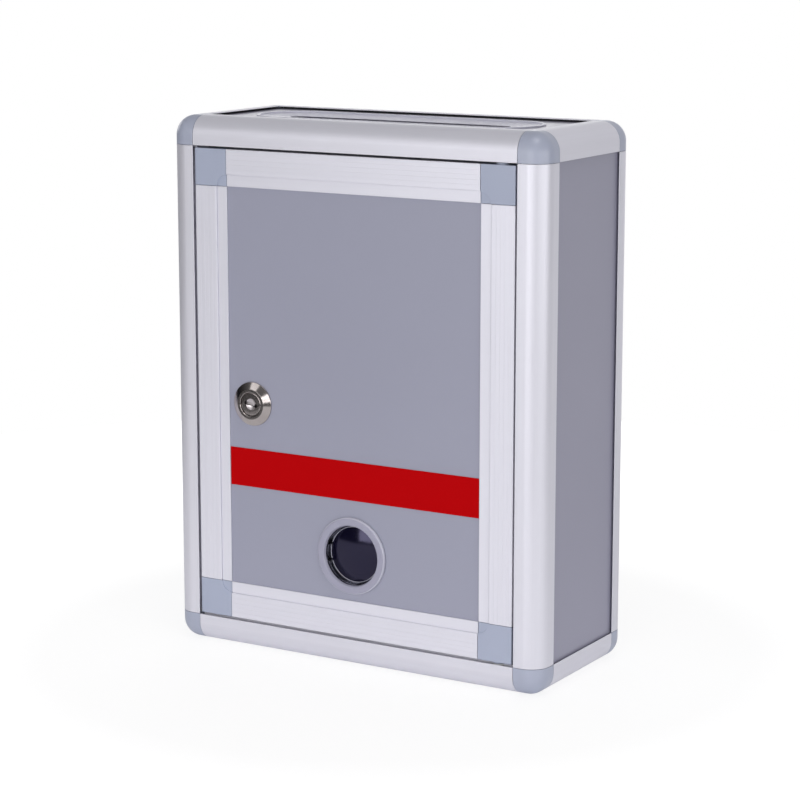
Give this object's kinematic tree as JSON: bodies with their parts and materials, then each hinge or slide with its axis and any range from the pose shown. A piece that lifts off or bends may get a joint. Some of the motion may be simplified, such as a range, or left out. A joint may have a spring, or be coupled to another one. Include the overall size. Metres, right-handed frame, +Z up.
{
  "type": "suggestion box",
  "caption": "Suggestion box: aluminium profile cabinet with grey corner caps, a letter slot in its top, and a locked front door with a round window and a plain red band.",
  "frame": {"origin": "centre of the bounding box in X and Y, on the plane that the base rests on", "axes": "+Z up, the door faces -Y, +X to the right of someone who faces the door"},
  "size_m": [0.212, 0.0928, 0.27],
  "materials": {
    "profile_aluminium": "satin anodised",
    "frame_aluminium": "satin anodised, finely fluted",
    "corner_plastic": "satin moulded",
    "panel_paint": "semi-matt powder coat",
    "door_paint": "semi-matt powder coat",
    "band_red": "screen printed, plain",
    "insert_plastic": "satin moulded",
    "bush_plastic": "natural nylon",
    "window_clear": "clear moulded",
    "lens_tint": "dark tinted moulded",
    "lock_chrome": "polished plate",
    "pin_steel": "zinc plated"
  },
  "bodies": {
    "cabinet": {"post_front_left": "profile_aluminium", "post_front_right": "profile_aluminium", "post_rear_left": "profile_aluminium", "post_rear_right": "profile_aluminium", "rail_top_front": "profile_aluminium", "rail_bottom_front": "profile_aluminium", "rail_top_rear": "profile_aluminium", "rail_bottom_rear": "profile_aluminium", "rail_top_left": "profile_aluminium", "rail_top_right": "profile_aluminium", "rail_bottom_left": "profile_aluminium", "rail_bottom_right": "profile_aluminium", "corner_top_front_left": "corner_plastic", "corner_top_front_right": "corner_plastic", "corner_top_rear_left": "corner_plastic", "corner_top_rear_right": "corner_plastic", "corner_bottom_front_left": "corner_plastic", "corner_bottom_front_right": "corner_plastic", "corner_bottom_rear_left": "corner_plastic", "corner_bottom_rear_right": "corner_plastic", "panel_left": "panel_paint", "panel_right": "panel_paint", "panel_back": "panel_paint", "panel_bottom": "panel_paint", "panel_top": "panel_paint", "slot_insert": "insert_plastic", "hinge_bush_top": "bush_plastic", "hinge_bush_bottom": "bush_plastic"},
    "door": {"door_stile_left": "frame_aluminium", "door_stile_right": "frame_aluminium", "door_rail_top": "frame_aluminium", "door_rail_bottom": "frame_aluminium", "door_corner_top_left": "corner_plastic", "door_corner_top_right": "corner_plastic", "door_corner_bottom_left": "corner_plastic", "door_corner_bottom_right": "corner_plastic", "door_panel": "door_paint", "red_band": "band_red", "window_ring": "window_clear", "window_lens": "lens_tint", "hinge_pin_top": "pin_steel", "hinge_pin_bottom": "pin_steel", "lock_barrel": "lock_chrome", "lock_nut": "pin_steel"},
    "lock": {"lock_plug": "lock_chrome", "lock_cam": "pin_steel", "cam_washer": "pin_steel", "cam_screw": "pin_steel"}
  },
  "joints": [
    {"name": "door_hinge", "type": "hinge", "parent": "cabinet", "child": "door", "pos_m": [0.0818, -0.0412, 0.135], "axis": [0, 0, 1], "range_deg": [0, 130]},
    {"name": "lock_turn", "type": "hinge", "parent": "door", "child": "lock", "pos_m": [-0.058, -0.0412, 0.1277], "axis": [0, 1, 0], "range_deg": [0, 90]}
  ]
}
